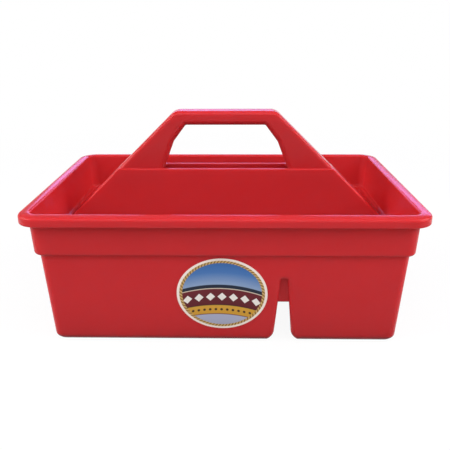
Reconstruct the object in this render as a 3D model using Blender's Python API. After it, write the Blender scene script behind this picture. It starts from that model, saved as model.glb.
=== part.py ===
"""Grooming tote: one drafted plastic moulding with three wells, a hollow divider and a hand grip.

Metres, +Z up. X runs along the tote, -Y is its front, the origin is the centre of its base.
The moulding is worked out whole, and is then parted along its own feature lines into sub-parts.
"""
import math

import bmesh
import bpy
from mathutils import Matrix, Vector

# Rim
RIM_LENGTH = 0.4125
RIM_DEPTH = 0.2805
RIM_CORNER = 0.023        # plan radius of the rim's outer corners
RIM_OVERHANG = 0.0099     # from the lip's face in to the wall below it
LIP_HEIGHT = 0.0105       # how far the lip hangs down
LIP_EDGE = 0.0010         # rounding of the lip's lower edge
RIM_EDGE = 0.0035         # rounding of the rim's upper outer edge
RIM_INNER_EDGE = 0.0025   # rounding of the rim's upper inner edge

# Tub
TUB_HEIGHT = 0.149
WALL = 0.003
WALL_DRAFT = 3.0          # degrees, all outer walls
WALL_CORNER = 0.009       # least plan radius of a wall's corner
LEDGE_HEIGHT = 0.1063     # top of the ledge that runs round inside
LEDGE_STEP = 0.0047       # how far the lower wall stands in from the upper one
LEDGE_EDGE = 0.002        # rounding of the ledge's edge over the wells
SHOULDER_EDGE = 0.0035    # rounding under the upper wall
FOOT_EDGE = 0.008        # outer rounding round the base

# Divider
DIVIDER_TOP = 0.1656
DIVIDER_TOP_THICKNESS = 0.030
DIVIDER_DRAFT = 3.8       # degrees, each face
DIVIDER_CORNER = 0.003    # plan radius of its sloped ends' edges
DIVIDER_FOOT_EDGE = 0.0025    # rounding under its hollow, less than the wall
TROUGH_CORNER = 0.009     # plan radius of the wells' corners at the divider
DIVIDER_TOE = 0.0003      # the wells stand off the divider's upper faces by this
SLOT_LAP = 0.0003         # the walls beside the slot lap the handle's faces by this

# Handle
HANDLE_HEIGHT = 0.2312
HANDLE_STEP = 0.003       # from each face of the divider's top in to the handle's face
HANDLE_SHOULDER = 0.0576   # half the length at the top, were its corners sharp
RAMP_MARGIN = 0.0061      # on the ledge, from the foot of each sloped end to the inner wall
HANDLE_CORNER = 0.015     # outer radius at the top corners
HANDLE_EDGE = 0.0045      # rounding along the outer edges
HANDLE_WALL = 0.0032
RAMP_STEP = 0.0004        # the divider's sloped ends stand proud of the handle's by this
GRIP_HEIGHT = 0.016       # depth of the bar that is held
HOLE_TOP = 0.0455         # half widths of the hand hole, from the top down
HOLE_MIDDLE = 0.0599
HOLE_BOTTOM = 0.0719
HOLE_KINK_DROP = 0.019    # from the hole's top down to where its sides bend
HOLE_CORNER = 0.003
HOLE_KINK_CORNER = 0.010
HOLE_EDGE = 0.006         # rounding round the hand hole

# Tunnel between the two front wells, open at the front and below
TUNNEL_X = 0.0627
TUNNEL_TOP_WIDTH = 0.0068
TUNNEL_HEIGHT = 0.075
TUNNEL_DRAFT = 5.0        # degrees, each side
TUNNEL_ROOF_EDGE = 0.002
TUNNEL_FOOT_EDGE = 0.012  # rounding between its sides and the base
TUNNEL_FLARE = 0.010      # each side stands further out by this at the divider
WEB_DEPTH = 0.012         # from the front wall's face in to the web across the tunnel
WEB_FOOT = 0.044          # height of the web's lower edge
MOUTH_EDGE = 0.005        # rounding of the upright edges where a hollow meets an outer wall

# Sticker on the front wall
LABEL_WIDTH = 0.095
LABEL_HEIGHT = 0.083
LABEL_THICKNESS = 0.0004
LABEL_X = -0.002
LABEL_Z = 0.0585          # height of its centre
LABEL_TILT = 2.0          # degrees, clockwise from the front
LABEL_POINTS = 64

# Parting
GAP = 0.0003              # between neighbouring sub-parts
RIM_PARTING_DROP = 0.0007     # under the lip
WELL_PARTING_DROP = 0.0015    # under the shoulder
LEG_PARTING_RISE = 0.0011     # over the divider's top
GRIP_PARTING = 0.003      # inside each end of the hole's top
BRIDGE_PARTING = 0.001    # inside each side of the tunnel's roof
DECK_PARTING = 0.0007     # from the wells' end walls in to the divider's ends
CORE_PARTING = 0.0004     # inside the side walls of the legs

# Finish
PLASTIC_RED = (0.55, 0.022, 0.027, 1.0)
PLASTIC_ROUGHNESS = 0.35
LABEL_CREAM = (0.80, 0.76, 0.62, 1.0)

# Roundness
CORNER_STEPS = 6
EDGE_STEPS = 4
CLEAR = 0.010             # how far a cutter runs past what it cuts
LEAST_EDGE = 0.0005       # smallest rounding that is drawn
SMOOTH_ANGLE = 32.0

# Levels and slopes that follow from the sizes above
WALL_SLOPE = math.tan(math.radians(WALL_DRAFT))
DIVIDER_SLOPE = math.tan(math.radians(DIVIDER_DRAFT))
RIM_UNDERSIDE = TUB_HEIGHT - LIP_HEIGHT
SHOULDER_UNDERSIDE = LEDGE_HEIGHT - WALL
GRIP_UNDERSIDE = HANDLE_HEIGHT - GRIP_HEIGHT
HALF_HANDLE = DIVIDER_TOP_THICKNESS / 2 - HANDLE_STEP
HALF_LENGTH = RIM_LENGTH / 2
HALF_DEPTH = RIM_DEPTH / 2


def upper_inset(z):
    """Distance in from the rim's outline to the outside of the upper wall."""
    return RIM_OVERHANG + (RIM_UNDERSIDE - z) * WALL_SLOPE


RAMP_FOOT = HALF_LENGTH - upper_inset(LEDGE_HEIGHT) - WALL - RAMP_MARGIN
HANDLE_RUN = (RAMP_FOOT - HANDLE_SHOULDER) / (HANDLE_HEIGHT - LEDGE_HEIGHT)


def lower_inset(z):
    """Distance in from the rim's outline to the outside of the lower wall."""
    return upper_inset(z) + LEDGE_STEP


def divider_half(z):
    """Half the divider's thickness."""
    return DIVIDER_TOP_THICKNESS / 2 + (DIVIDER_TOP - z) * DIVIDER_SLOPE


def handle_end(z):
    """Half the handle's length, on its sloped ends."""
    return HANDLE_SHOULDER + (HANDLE_HEIGHT - z) * HANDLE_RUN


def slope_shift(thickness):
    """How far a sloped end moves along X when it is thinned by a wall."""
    return thickness * math.hypot(1, HANDLE_RUN)


def tunnel_half(z):
    """Half the tunnel's width."""
    rise = math.tan(math.radians(TUNNEL_DRAFT))
    return TUNNEL_TOP_WIDTH / 2 + (TUNNEL_HEIGHT - z) * rise


def quarter(radius):
    """Offsets (across, up) along a quarter round that starts flat and ends upright."""
    angles = [math.pi / 2 * k / EDGE_STEPS for k in range(EDGE_STEPS + 1)]
    return [(radius * (1 - math.sin(a)), radius * (1 - math.cos(a))) for a in angles]


# Scene and collections
for old in list(bpy.data.objects):
    bpy.data.objects.remove(old, do_unlink=True)

parts = bpy.data.collections.new("grooming_tote")
cutters = bpy.data.collections.new("grooming_tote_cutters")
bpy.context.scene.collection.children.link(parts)
bpy.context.scene.collection.children.link(cutters)


def as_guide(obj):
    """Mark an object as a cutter or guide."""
    cutters.objects.link(obj)
    obj.hide_render = True
    obj.display_type = "WIRE"
    return obj


def loft(name, rings):
    """A closed solid through rings of points, all with the same count."""
    shape = bmesh.new()
    rows = [[shape.verts.new(point) for point in ring] for ring in rings]
    count = len(rows[0])
    for low, high in zip(rows, rows[1:]):
        for k in range(count):
            j = (k + 1) % count
            shape.faces.new((low[k], low[j], high[j], high[k]))
    shape.faces.new(rows[0][::-1])
    shape.faces.new(rows[-1])
    bmesh.ops.remove_doubles(shape, verts=shape.verts, dist=0.000001)
    bmesh.ops.recalc_face_normals(shape, faces=shape.faces)
    mesh = bpy.data.meshes.new(name)
    shape.to_mesh(mesh)
    shape.free()
    return as_guide(bpy.data.objects.new(name, mesh))


def boolean(obj, operation, other):
    """Add an exact Boolean modifier."""
    step = obj.modifiers.new(operation.title() + "_" + other.name, "BOOLEAN")
    step.operation = operation
    step.solver = "EXACT"
    step.object = other


def plan_ring(x_low, x_high, y_low, y_high, z, front, back):
    """A rounded rectangle seen from above, with one radius at its front and one at its back."""
    corners = (
        (x_high, y_high, -1, -1, 0, back),
        (x_low, y_high, 1, -1, 1, back),
        (x_low, y_low, 1, 1, 2, front),
        (x_high, y_low, -1, 1, 3, front),
    )
    ring = []
    for x, y, in_x, in_y, turn, r in corners:
        for k in range(CORNER_STEPS + 1):
            angle = math.pi / 2 * (turn + k / CORNER_STEPS)
            ring.append((x + r * (in_x + math.cos(angle)), y + r * (in_y + math.sin(angle)), z))
    return ring


def tub_ring(inset, z):
    """The rim's outline, moved in by inset; its corners stay round the same centres while they can."""
    half_x = HALF_LENGTH - inset
    half_y = HALF_DEPTH - inset
    radius = max(RIM_CORNER - inset, WALL_CORNER)
    return plan_ring(-half_x, half_x, -half_y, half_y, z, radius, radius)


def offset_outline(points, distance):
    """Move each side of a convex outline, given anticlockwise, outward by a distance."""
    moved = []
    count = len(points)
    for k in range(count):
        before = Vector(points[k]) - Vector(points[k - 1])
        after = Vector(points[(k + 1) % count]) - Vector(points[k])
        a = Vector((before.y, -before.x)).normalized()
        b = Vector((after.y, -after.x)).normalized()
        bisector = (a + b) / (1 + a.dot(b))
        moved.append(Vector(points[k]) + bisector * distance)
    return moved


def round_outline(points, radii):
    """Replace each corner of an anticlockwise convex outline by an arc; radius 0 keeps it sharp."""
    outline = []
    count = len(points)
    for k, radius in enumerate(radii):
        here = Vector(points[k])
        back = (Vector(points[k - 1]) - here).normalized()
        ahead = (Vector(points[(k + 1) % count]) - here).normalized()
        half_angle = back.angle(ahead) / 2
        if radius <= 0:
            outline.append(here)
            continue
        centre = here + (back + ahead).normalized() * radius / math.sin(half_angle)
        start = here + back * radius / math.tan(half_angle) - centre
        turn = math.pi - 2 * half_angle
        for step in range(CORNER_STEPS + 1):
            angle = turn * step / CORNER_STEPS
            c = math.cos(angle)
            s = math.sin(angle)
            outline.append(centre + Vector((start.x * c - start.y * s, start.x * s + start.y * c)))
    return outline


def mirrored(points):
    """Complete an outline from its right half, listed upwards, mirrored in X."""
    return points + [(-x, z) for x, z in reversed(points)]


def upright_ring(outline, y):
    """An outline of (x, z) points stood up at one depth."""
    return [(point[0], y, point[1]) for point in outline]


# The tub, as a solid with its outer form
def tub_body():
    rings = [tub_ring(lower_inset(up) + across, up) for across, up in quarter(FOOT_EDGE)]
    rings.append(tub_ring(lower_inset(SHOULDER_UNDERSIDE), SHOULDER_UNDERSIDE))
    for across, up in quarter(SHOULDER_EDGE):
        z = SHOULDER_UNDERSIDE + up
        rings.append(tub_ring(upper_inset(z) + across, z))
    rings.append(tub_ring(RIM_OVERHANG, RIM_UNDERSIDE))
    rings.append(tub_ring(LIP_EDGE, RIM_UNDERSIDE))
    rings.append(tub_ring(0, RIM_UNDERSIDE + LIP_EDGE))
    for across, up in reversed(quarter(RIM_EDGE)):
        rings.append(tub_ring(across, TUB_HEIGHT - up))
    return loft("tub_body", rings)


# The open space over the ledge, inside the upper wall
def basin():
    inner_inset = upper_inset(TUB_HEIGHT - RIM_INNER_EDGE) + WALL
    rings = [tub_ring(upper_inset(LEDGE_HEIGHT) + WALL, LEDGE_HEIGHT)]
    for across, up in reversed(quarter(RIM_INNER_EDGE)):
        rings.append(tub_ring(inner_inset - across, TUB_HEIGHT - up))
    rings.append(tub_ring(inner_inset - RIM_INNER_EDGE, TUB_HEIGHT + CLEAR))
    return loft("basin", rings)


def trough_ring(side, z, shrink, edge):
    """A well's outline on one side (-1 front, 1 back), shrunk all round, or widened at the ledge."""
    inset = lower_inset(z) + WALL + shrink - edge
    half_x = HALF_LENGTH - inset
    outer_y = HALF_DEPTH - inset
    inner_y = divider_half(z) + DIVIDER_TOE + shrink
    radius = max(RIM_CORNER - lower_inset(z), WALL_CORNER) - WALL + edge
    if side < 0:
        return plan_ring(-half_x, half_x, -outer_y, -inner_y, z, radius, TROUGH_CORNER)
    return plan_ring(-half_x, half_x, inner_y, outer_y, z, TROUGH_CORNER, radius)


# The hollow of the wells on one side of the divider
def trough(name, side):
    floor_edge = FOOT_EDGE - WALL
    rings = [trough_ring(side, WALL + up, across, 0) for across, up in quarter(floor_edge)]
    for across, up in reversed(quarter(LEDGE_EDGE)):
        rings.append(trough_ring(side, LEDGE_HEIGHT - up, 0, across))
    rings.append(trough_ring(side, LEDGE_HEIGHT + WALL, 0, LEDGE_EDGE))
    return loft(name, rings)


# The divider's outside, over the ledge
def divider_body():
    rings = []
    for z in (LEDGE_HEIGHT - WALL / 2, DIVIDER_TOP):
        half_x = handle_end(z) + RAMP_STEP
        half_y = divider_half(z)
        rings.append(plan_ring(-half_x, half_x, -half_y, half_y, z, DIVIDER_CORNER, DIVIDER_CORNER))
    return loft("divider_body", rings)


def mouth_steps():
    """The rounded mouth of a hollow in an outer wall: (distance behind the wall's face, widening)."""
    return [(-CLEAR, MOUTH_EDGE)] + [(up, across) for across, up in quarter(MOUTH_EDGE)]


# The hollow inside the divider, open below and at both ends under the deck
def divider_hollow():
    def section(side, x, top, widen):
        half = [(divider_half(-CLEAR) - WALL + DIVIDER_FOOT_EDGE, -CLEAR)]
        half += [(divider_half(up) - WALL + across, up) for across, up in quarter(DIVIDER_FOOT_EDGE)]
        half.append((divider_half(top) - WALL, top))
        ring = mirrored([(y + widen, z) for y, z in half])
        return [(side * (x - (top - z) * WALL_SLOPE), y, z) for y, z in ring]

    wall_face = HALF_LENGTH - lower_inset(SHOULDER_UNDERSIDE)
    roof = DIVIDER_TOP - WALL
    shift = RAMP_STEP - slope_shift(WALL)
    steps = [(wall_face - distance, SHOULDER_UNDERSIDE, widen) for distance, widen in mouth_steps()]
    steps.append((handle_end(SHOULDER_UNDERSIDE) + shift, SHOULDER_UNDERSIDE, 0))
    steps.append((handle_end(roof) + shift, roof, 0))
    sections = [section(-1, *step) for step in steps]
    sections += [section(1, *step) for step in reversed(steps)]
    return loft("divider_hollow", sections)


# The slot between the tops of the divider's two walls
def slot():
    half_x = HOLE_BOTTOM + RAMP_STEP
    half_y = HALF_HANDLE - SLOT_LAP
    low = DIVIDER_TOP - 2 * WALL
    high = DIVIDER_TOP + WALL
    rings = [plan_ring(-half_x, half_x, -half_y, half_y, z, WALL, WALL) for z in (low, high)]
    return loft("slot", rings)


# The handle's outline as an arch over the divider, with rounded outer edges
def handle_body():
    root = DIVIDER_TOP - 1.5 * WALL
    layers = []
    for across, up in quarter(HANDLE_EDGE):
        points = mirrored([
            (handle_end(DIVIDER_TOP), root - up),
            (handle_end(DIVIDER_TOP), DIVIDER_TOP),
            (HANDLE_SHOULDER, HANDLE_HEIGHT),
        ])
        corner = HANDLE_CORNER - up
        outline = round_outline(offset_outline(points, -up), [0, 0, corner, corner, 0, 0])
        layers.append((HALF_HANDLE - across, outline))
    rings = [upright_ring(outline, -y) for y, outline in reversed(layers)]
    rings += [upright_ring(outline, y) for y, outline in layers]
    return loft("handle_body", rings)


def hole_points():
    """Corners of the hand hole, carried on down below the divider's top."""
    kink = GRIP_UNDERSIDE - HOLE_KINK_DROP
    lean = (HOLE_BOTTOM - HOLE_MIDDLE) / (kink - DIVIDER_TOP)
    return [
        (HOLE_BOTTOM + lean * 2 * WALL, DIVIDER_TOP - 2 * WALL),
        (HOLE_MIDDLE, kink),
        (HOLE_TOP, GRIP_UNDERSIDE),
    ]


# The hand hole, widened towards both faces so that its edges are round
def hand_hole():
    points = mirrored(hole_points())
    steps = [(HALF_HANDLE + CLEAR, HOLE_EDGE)]
    steps += [(HALF_HANDLE - up, across) for across, up in quarter(HOLE_EDGE)]
    layers = []
    for y, widen in steps:
        radii = [0, HOLE_KINK_CORNER + widen, HOLE_CORNER + widen]
        layers.append((y, round_outline(offset_outline(points, widen), radii + radii[::-1])))
    rings = [upright_ring(outline, -y) for y, outline in layers]
    rings += [upright_ring(outline, y) for y, outline in reversed(layers)]
    return loft("hand_hole", rings)


# The hollow inside one leg of the handle (-1 left, 1 right)
def leg_hollow(name, side):
    bottom, kink, top = [Vector(point) for point in hole_points()]
    inner = offset_outline([bottom, kink, top, Vector((0, top.y)), Vector((0, bottom.y))], HANDLE_WALL)
    shift = slope_shift(HANDLE_WALL)
    roof = GRIP_UNDERSIDE + HANDLE_WALL
    floor = DIVIDER_TOP - 2 * WALL
    outline = [
        (inner[0].x, floor),
        (handle_end(DIVIDER_TOP) - shift, floor),
        (handle_end(DIVIDER_TOP) - shift, DIVIDER_TOP),
        (handle_end(roof) - shift, roof),
        (inner[2].x, roof),
        (inner[1].x, inner[1].y),
    ]
    half_y = HALF_HANDLE - HANDLE_WALL
    rings = [[(side * x, y, z) for x, z in outline] for y in (-half_y, half_y)]
    return loft(name, rings)


def tunnel_section(grow):
    """Right half of the tunnel's section, from the base up; grow thickens it into its jacket."""
    foot = max(TUNNEL_FOOT_EDGE - grow, LEAST_EDGE)
    section = [(tunnel_half(-CLEAR) + grow + foot, -CLEAR)]
    for across, up in quarter(foot):
        z = grow + up
        section.append((tunnel_half(z) + grow + across, z))
    roof_edge = TUNNEL_ROOF_EDGE + grow
    top = TUNNEL_HEIGHT + grow
    for across, up in reversed(quarter(roof_edge)):
        z = top - up
        section.append((tunnel_half(z) + grow - across, z))
    return section


# The tunnel itself, or with grow the solid jacket that carries its walls and roof
def tunnel(name, grow, front, back):
    """front lists (distance behind the front wall, widening); back is how far it enters the divider."""
    rings = []
    for distance, widen in front:
        ring = mirrored(tunnel_section(grow + widen))
        rings.append([(TUNNEL_X + x, lower_inset(z) - HALF_DEPTH + distance, z) for x, z in ring])
    ring = mirrored([(x + TUNNEL_FLARE, z) for x, z in tunnel_section(grow)])
    rings.append([(TUNNEL_X + x, back - divider_half(z), z) for x, z in ring])
    return loft(name, rings)


def box(name, low, high):
    """A box between two corners."""
    shape = bmesh.new()
    bmesh.ops.create_cube(shape, size=1.0)
    size = Vector(high) - Vector(low)
    centre = (Vector(high) + Vector(low)) / 2
    bmesh.ops.scale(shape, vec=size, verts=shape.verts)
    bmesh.ops.translate(shape, vec=centre, verts=shape.verts)
    mesh = bpy.data.meshes.new(name)
    shape.to_mesh(mesh)
    shape.free()
    return as_guide(bpy.data.objects.new(name, mesh))


def evaluated_mesh(obj, name):
    """The mesh of an object with its modifiers worked out."""
    bpy.context.view_layer.update()
    depsgraph = bpy.context.evaluated_depsgraph_get()
    mesh = bpy.data.meshes.new_from_object(obj.evaluated_get(depsgraph))
    mesh.name = name
    return mesh


# The whole moulding
def moulding():
    divider = divider_body()
    boolean(divider, "DIFFERENCE", slot())
    handle = handle_body()
    boolean(handle, "DIFFERENCE", hand_hole())

    passage = tunnel("tunnel", 0, mouth_steps(), 0)
    web_y = lower_inset(WEB_FOOT) - HALF_DEPTH + WEB_DEPTH
    web = box("web", (0, web_y, WEB_FOOT), (2 * TUNNEL_X, web_y + WALL, 2 * TUNNEL_HEIGHT))
    boolean(passage, "DIFFERENCE", web)
    jacket = tunnel("tunnel_jacket", WALL, [(0, 0)], WALL / 2)
    front_trough = trough("front_trough", -1)
    boolean(front_trough, "DIFFERENCE", jacket)

    body = tub_body()
    boolean(body, "DIFFERENCE", basin())
    boolean(body, "UNION", divider)
    boolean(body, "UNION", handle)
    boolean(body, "DIFFERENCE", front_trough)
    boolean(body, "DIFFERENCE", trough("back_trough", 1))
    boolean(body, "DIFFERENCE", divider_hollow())
    boolean(body, "DIFFERENCE", leg_hollow("left_leg_hollow", -1))
    boolean(body, "DIFFERENCE", leg_hollow("right_leg_hollow", 1))
    boolean(body, "DIFFERENCE", passage)
    return evaluated_mesh(body, "moulding")


def plastic(name):
    """Moulded polyethylene in the tote's red."""
    material = bpy.data.materials.new(name)
    material.use_nodes = True
    shader = material.node_tree.nodes["Principled BSDF"]
    shader.inputs["Base Color"].default_value = PLASTIC_RED
    shader.inputs["Roughness"].default_value = PLASTIC_ROUGHNESS
    shader.inputs["Metallic"].default_value = 0.0
    return material


def sub_part(name, whole, keep, drop=None):
    """The piece of the moulding inside one box and outside another."""
    obj = bpy.data.objects.new(name, whole)
    parts.objects.link(obj)
    obj.material_slots[0].link = "OBJECT"
    obj.material_slots[0].material = plastic(name + "_plastic")
    boolean(obj, "INTERSECT", keep)
    if drop:
        boolean(obj, "DIFFERENCE", drop)


def label():
    """A thin oval sticker on the front wall, tilted a little."""
    shape = bmesh.new()
    bmesh.ops.create_cone(
        shape,
        cap_ends=True,
        segments=LABEL_POINTS,
        radius1=LABEL_WIDTH / 2,
        radius2=LABEL_WIDTH / 2,
        depth=LABEL_THICKNESS,
    )
    bmesh.ops.scale(shape, vec=(1, LABEL_HEIGHT / LABEL_WIDTH, 1), verts=shape.verts)
    tilt = Matrix.Rotation(-math.radians(LABEL_TILT), 3, "Z")
    bmesh.ops.rotate(shape, matrix=tilt, verts=shape.verts)
    mesh = bpy.data.meshes.new("label")
    shape.to_mesh(mesh)
    shape.free()
    obj = bpy.data.objects.new("label", mesh)
    parts.objects.link(obj)
    lean = math.radians(WALL_DRAFT)
    stand_off = (GAP + LABEL_THICKNESS / 2) / math.cos(lean)
    wall_face = HALF_DEPTH - lower_inset(LABEL_Z)
    obj.location = (LABEL_X, -wall_face - stand_off, LABEL_Z)
    obj.rotation_euler = (math.pi / 2 + lean, 0, 0)
    material = plastic("label_vinyl")
    material.node_tree.nodes["Principled BSDF"].inputs["Base Color"].default_value = LABEL_CREAM
    mesh.materials.append(material)


def part_out(whole):
    """Divide the moulding at its feature lines."""
    half_gap = GAP / 2
    far = RIM_LENGTH
    rim_cut = RIM_UNDERSIDE - RIM_PARTING_DROP
    well_cut = SHOULDER_UNDERSIDE - WELL_PARTING_DROP
    leg_cut = DIVIDER_TOP + LEG_PARTING_RISE
    deck_x = HALF_LENGTH - lower_inset(LEDGE_HEIGHT) - WALL - DECK_PARTING
    block_y = divider_half(well_cut) + WALL
    core_y = HALF_HANDLE - HANDLE_WALL - CORE_PARTING
    ramp_x = (HOLE_BOTTOM + handle_end(DIVIDER_TOP)) / 2
    grip_x = HOLE_TOP - GRIP_PARTING
    bridge_low = TUNNEL_X - TUNNEL_TOP_WIDTH / 2 + BRIDGE_PARTING
    bridge_high = TUNNEL_X + TUNNEL_TOP_WIDTH / 2 - BRIDGE_PARTING

    block = box(
        "divider_block",
        (-deck_x - half_gap, -block_y - half_gap, well_cut - CLEAR),
        (deck_x + half_gap, block_y + half_gap, far),
    )
    sub_part("rim", whole, box("rim_region", (-far, -far, rim_cut + half_gap), (far, far, far)), block)
    band = box("band_region", (-far, -far, well_cut + half_gap), (far, far, rim_cut - half_gap))
    sub_part("shoulder_band", whole, band, block)

    top = well_cut - half_gap
    wells = {
        "back_well": (-far, 0, far, far),
        "front_left_well": (-far, -far, bridge_low - half_gap, 0),
        "front_right_well": (bridge_high + half_gap, -far, far, 0),
        "tunnel_bridge": (bridge_low + half_gap, -far, bridge_high - half_gap, 0),
    }
    for name, (x_low, y_low, x_high, y_high) in wells.items():
        sub_part(name, whole, box(name + "_region", (x_low, y_low, -CLEAR), (x_high, y_high, top)))

    for name, side in (("divider_front_wall", -1), ("divider_back_wall", 1)):
        near = side * (core_y + half_gap)
        away = side * (block_y - half_gap)
        low = (-deck_x + half_gap, min(near, away), well_cut + half_gap)
        high = (deck_x - half_gap, max(near, away), leg_cut - half_gap)
        sub_part(name, whole, box(name + "_region", low, high))

    for hand, side in (("left", -1), ("right", 1)):
        def across(inner, outer):
            return sorted((side * inner, side * outer))

        inner, outer = across(ramp_x + half_gap, deck_x - half_gap)
        ramp = box(
            hand + "_ramp_region",
            (inner, -core_y + half_gap, well_cut + half_gap),
            (outer, core_y - half_gap, leg_cut - half_gap),
        )
        sub_part(hand + "_ramp", whole, ramp)

        inner, outer = across(grip_x + half_gap, far)
        leg = box(hand + "_leg_region", (inner, -far, leg_cut + half_gap), (outer, far, far))
        inner, outer = across(grip_x + half_gap, ramp_x - half_gap)
        root = box(
            hand + "_leg_root_region",
            (inner, -core_y + half_gap, DIVIDER_TOP - CLEAR),
            (outer, core_y - half_gap, leg_cut + CLEAR),
        )
        boolean(leg, "UNION", root)
        sub_part(hand + "_handle_leg", whole, leg)

    grip = box(
        "grip_region",
        (-grip_x + half_gap, -far, GRIP_UNDERSIDE - CLEAR),
        (grip_x - half_gap, far, far),
    )
    sub_part("grip", whole, grip)


whole_moulding = moulding()
whole_moulding.materials.append(plastic("moulding_plastic"))
whole_moulding.shade_smooth()
whole_moulding.set_sharp_from_angle(angle=math.radians(SMOOTH_ANGLE))
part_out(whole_moulding)
label()
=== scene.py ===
# %% [markdown]
# # A grooming tote in red polyethylene
#
# A grooming tote is a carrier for brushes, combs and hoof picks. The whole carrier
# comes out of one mould: a tub with a rolled rim, three wells, and a hollow divider that
# rises into the handle. The only other piece is a sticker on the front wall.
# This lesson works out the moulding as one seamless skin, prints a sticker for it,
# and lights both with soft, even studio light.

# %% The frame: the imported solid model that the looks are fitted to
import math

import bmesh
import bpy
import numpy as np
from mathutils import Matrix, Vector


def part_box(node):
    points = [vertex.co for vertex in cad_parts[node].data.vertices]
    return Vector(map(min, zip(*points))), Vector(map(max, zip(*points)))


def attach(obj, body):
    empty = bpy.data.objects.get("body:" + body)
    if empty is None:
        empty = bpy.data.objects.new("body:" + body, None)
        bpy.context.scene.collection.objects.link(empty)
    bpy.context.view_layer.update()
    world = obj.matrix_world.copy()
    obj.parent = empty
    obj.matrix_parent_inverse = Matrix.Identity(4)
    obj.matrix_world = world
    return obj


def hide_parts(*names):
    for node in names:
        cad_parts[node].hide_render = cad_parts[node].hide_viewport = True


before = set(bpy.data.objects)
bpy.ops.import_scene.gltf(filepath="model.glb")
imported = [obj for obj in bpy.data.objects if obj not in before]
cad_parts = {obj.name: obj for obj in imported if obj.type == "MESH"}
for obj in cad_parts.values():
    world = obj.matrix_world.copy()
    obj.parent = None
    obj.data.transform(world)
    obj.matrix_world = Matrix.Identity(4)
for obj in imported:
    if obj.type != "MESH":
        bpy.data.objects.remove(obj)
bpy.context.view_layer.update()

print("nodes in the frame:", ", ".join(sorted(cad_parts)))

# %% [markdown]
# ## Sizes
#
# The outer sizes are read from the frame, so the skin always fits the solids. The others
# are the mould's own sizes: wall, drafts and roundings, in metres and degrees. A mould
# needs draft on every wall, or the tote would not come out of it. The tub's sizes come
# first, and those of the tunnel, the divider and the handle where they are needed.

# %% Sizes read from the frame
rim_low, rim_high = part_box("rim")
grip_low, grip_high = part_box("grip")
HALF_LENGTH = (rim_high.x - rim_low.x) / 2
HALF_DEPTH = (rim_high.y - rim_low.y) / 2
TUB_HEIGHT = rim_high.z
HANDLE_HEIGHT = grip_high.z
GRIP_UNDERSIDE = grip_low.z
print(f"rim {2 * HALF_LENGTH:.3f} x {2 * HALF_DEPTH:.3f}, tub {TUB_HEIGHT:.3f}, "
      f"handle {HANDLE_HEIGHT:.3f}")

# %% Sizes of the tub
WALL = 0.003
RIM_CORNER = 0.023            # plan radius of the rim's corners
RIM_OVERHANG = 0.0099         # from the lip's face in to the wall below it
LIP_HEIGHT = 0.0105           # how far the lip hangs down
LIP_EDGE = 0.0010             # its lower edge
RIM_EDGE = 0.0035             # its upper outer edge
RIM_INNER_EDGE = 0.0025       # its upper inner edge
RIM_LEAN = 12.0               # degrees that the rim's top leans outward at its outer edge
WALL_DRAFT = 3.0
WALL_CORNER = 0.009           # least plan radius of a wall's corner
LEDGE_HEIGHT = 0.1063
LEDGE_STEP = 0.0047           # the lower wall stands in from the upper one by this
LEDGE_EDGE = 0.002
SHOULDER_EDGE = 0.0035
FOOT_EDGE = 0.008
COVE = 0.0010                 # fillet in an inner corner outside
DECK_COVE = 0.0020            # fillet round the ledge
print(f"wall {1e3 * WALL:.0f} mm, draft {WALL_DRAFT:.0f} degrees")

# %% Levels and insets that follow from them
WALL_SLOPE = math.tan(math.radians(WALL_DRAFT))
RIM_UNDERSIDE = TUB_HEIGHT - LIP_HEIGHT
SHOULDER_UNDERSIDE = LEDGE_HEIGHT - WALL


def upper_inset(z):
    """From the rim's outline in to the upper wall.

    It is the overhang, plus the depth below the lip times the draft's slope.
    """
    return RIM_OVERHANG + (RIM_UNDERSIDE - z) * WALL_SLOPE


def lower_inset(z):
    """From the rim's outline in to the lower wall: the upper wall's inset plus the ledge's step."""
    return upper_inset(z) + LEDGE_STEP


print(f"the base is {2 * (HALF_LENGTH - lower_inset(0)):.3f} long")

# %% [markdown]
# ## From rings to skins
#
# Every form of a moulding can be read as a stack of rings: a rounded rectangle that
# changes as it climbs, or an outline that changes as it goes back. One could pull such
# forms up by hand, but arrays of ring points give each rounding its exact radius.
# So each form is a grid, level by point round the ring, and one function skins it.

# %% Skin a grid of rings
SAME_POINT = 0.000001         # points closer than this are one


def skin(name, rings):
    """A closed body through rings of points, an array (ring, point, 3).

    Face (i, k) joins points k and k + 1 of ring i to those of ring i + 1, round and round,
    and the first and last rings are closed by a flat face.
    """
    rows, count, _ = rings.shape
    i, k = np.meshgrid(np.arange(rows - 1), np.arange(count), indexing="ij")
    j = (k + 1) % count
    this, following = i * count, (i + 1) * count
    quads = np.stack([this + k, this + j, following + j, following + k], axis=-1)
    first = np.arange(count)[::-1]
    last = np.arange(count) + (rows - 1) * count
    mesh = bpy.data.meshes.new(name)
    mesh.from_pydata(rings.reshape(-1, 3).tolist(), [],
                     quads.reshape(-1, 4).tolist() + [first.tolist(), last.tolist()])
    shape = bmesh.new()
    shape.from_mesh(mesh)
    bmesh.ops.remove_doubles(shape, verts=shape.verts, dist=SAME_POINT)
    bmesh.ops.recalc_face_normals(shape, faces=shape.faces)
    shape.to_mesh(mesh)
    shape.free()
    obj = bpy.data.objects.new(name, mesh)
    bpy.context.scene.collection.objects.link(obj)
    return obj


# %% Rounded edges and rounded rectangles
CORNER_STEPS = 16             # facets in a rounded corner
EDGE_STEPS = 8                # facets in a rounded edge


def quarter(radius, lean=0.0):
    """Offsets (across, up) along a quarter round, from flat to upright.

    Across is the radius times (1 - sin a), up is the radius times (1 - cos a), where a
    goes from the lean to 90 degrees.
    """
    a = np.linspace(math.radians(lean), math.pi / 2, EDGE_STEPS + 1)
    return radius * (1 - np.sin(a)), radius * (1 - np.cos(a))


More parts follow.
